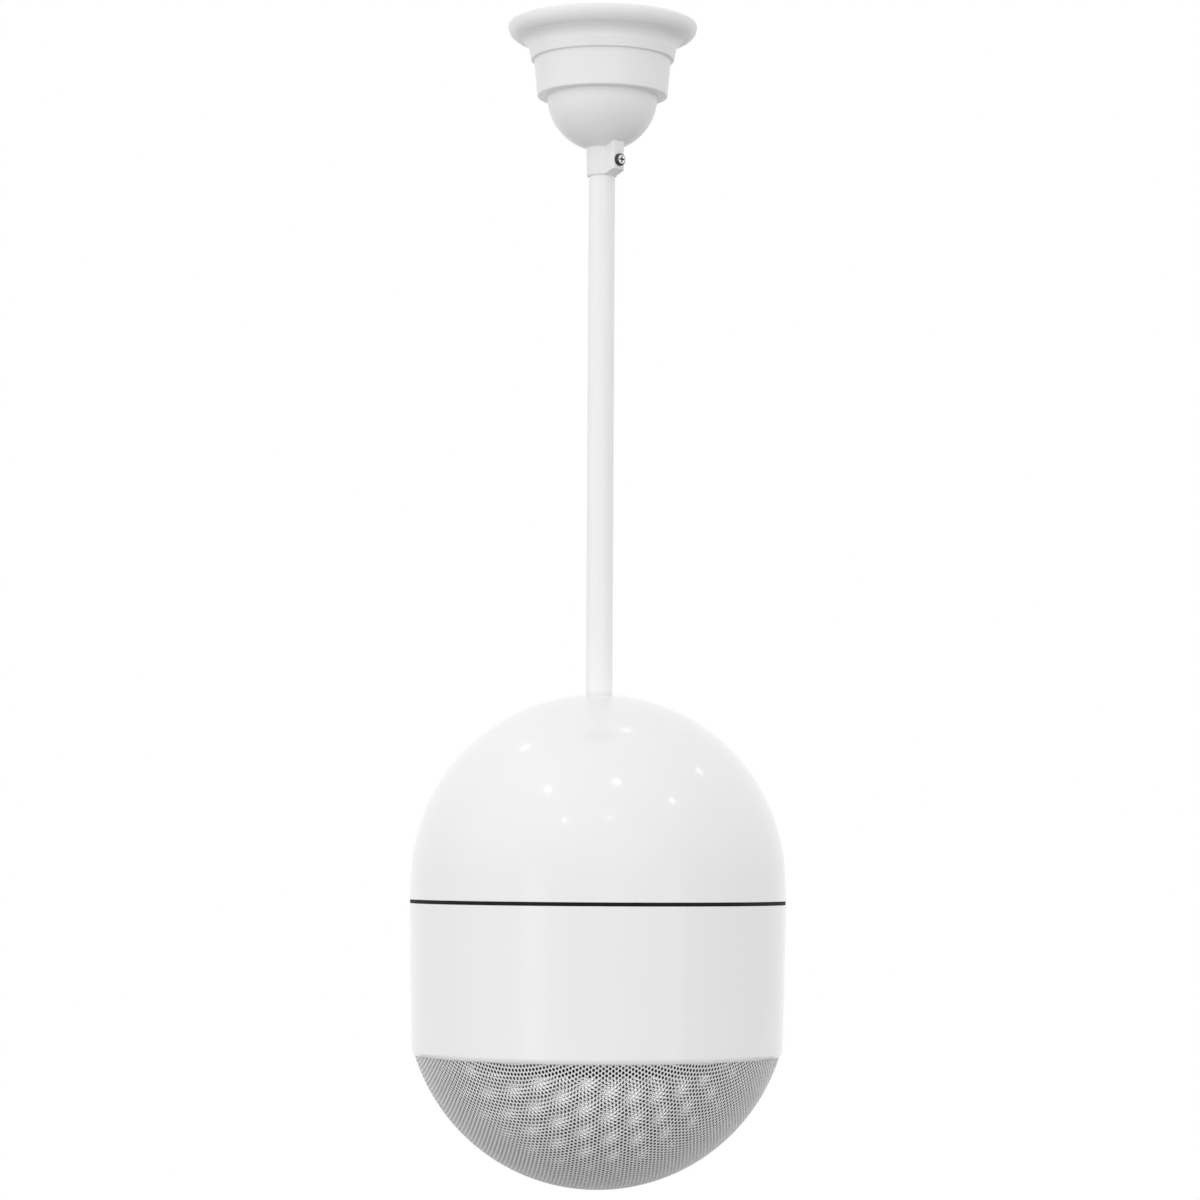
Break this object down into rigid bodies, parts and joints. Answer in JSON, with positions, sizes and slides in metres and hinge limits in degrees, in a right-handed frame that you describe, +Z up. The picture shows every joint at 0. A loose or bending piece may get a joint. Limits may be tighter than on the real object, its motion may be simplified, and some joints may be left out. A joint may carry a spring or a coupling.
{
  "type": "pendant speaker",
  "caption": "Pendant speaker: stepped ceiling canopy, thin stem tube and round two-shell housing with a perforated metal dome below.",
  "frame": {"origin": "centre of the ceiling plane, midway between the bracket's two screw holes", "axes": "+Z up into the ceiling, -Y the front, +X to the right seen from the front"},
  "size_m": [0.2252, 0.2252, 0.7029],
  "materials": {
    "canopy_white": "satin white moulded plastic",
    "shell_white": "glossy white moulded plastic",
    "tube_white": "white powder coat, semi-gloss",
    "grille_white": "white powder coat on perforated sheet",
    "chrome": "polished chrome plate",
    "zinc_steel": "bright zinc plate",
    "black_steel": "black zinc plate",
    "basket_grey": "grey paint on pressed steel",
    "cast_zinc": "plain die cast",
    "brass": "turned brass",
    "black_rubber": "matt black rubber",
    "black_foam": "matt black foam rubber",
    "cone_paper": "pressed dark paper pulp",
    "whizzer_paper": "pressed grey paper",
    "coil_paper": "kraft paper tube",
    "copper": "enamelled copper wire",
    "spider_cloth": "resin-stiffened cotton cloth",
    "ferrite": "sintered ferrite, matt",
    "phenolic": "brown phenolic paper board",
    "block_nylon": "natural moulded nylon",
    "lamination": "varnished laminations",
    "tape_yellow": "copper winding under yellow tape"
  },
  "bodies": {
    "housing": {"ceiling_bracket": "zinc_steel", "tube_nuts": "zinc_steel", "tube_washers": "zinc_steel", "terminal_block": "block_nylon", "terminal_sleeves": "brass", "terminal_screws": "zinc_steel", "block_screw": "zinc_steel", "stem_tube": "tube_white", "tube_bush": "black_rubber", "upper_shell": "shell_white", "tube_flange": "cast_zinc", "flange_screws": "zinc_steel", "tube_lock_nut": "zinc_steel", "seam_seal": "black_rubber", "lower_shell": "shell_white", "housing_screws": "zinc_steel", "grille": "grille_white", "grille_clips": "zinc_steel", "driver_gasket": "black_foam", "driver_basket": "basket_grey", "driver_screws": "black_steel", "front_ring": "black_foam", "surround": "black_rubber", "spider": "spider_cloth", "front_plate": "zinc_steel", "magnet": "ferrite", "back_plate": "zinc_steel", "tag_board": "phenolic", "tags": "brass", "tag_rivet": "brass", "transformer_core": "lamination", "transformer_bobbin": "block_nylon", "transformer_winding": "tape_yellow", "transformer_frame": "zinc_steel", "transformer_screws": "zinc_steel"},
    "canopy_unit": {"canopy": "canopy_white", "canopy_insert": "brass", "canopy_screw": "chrome"},
    "cone_unit": {"cone": "cone_paper", "whizzer_cone": "whizzer_paper", "dust_cap": "cone_paper", "voice_coil_former": "coil_paper", "voice_coil": "copper"}
  },
  "joints": [
    {"name": "canopy_slide", "type": "slide", "parent": "housing", "child": "canopy_unit", "axis": [0, 0, 1], "range_m": [-0.3, 0]},
    {"name": "cone_travel", "type": "slide", "parent": "housing", "child": "cone_unit", "axis": [0, 0, 1], "range_m": [-0.0015, 0.0015], "stiffness_N_per_m": 1500, "deforming": ["surround", "spider"]}
  ]
}
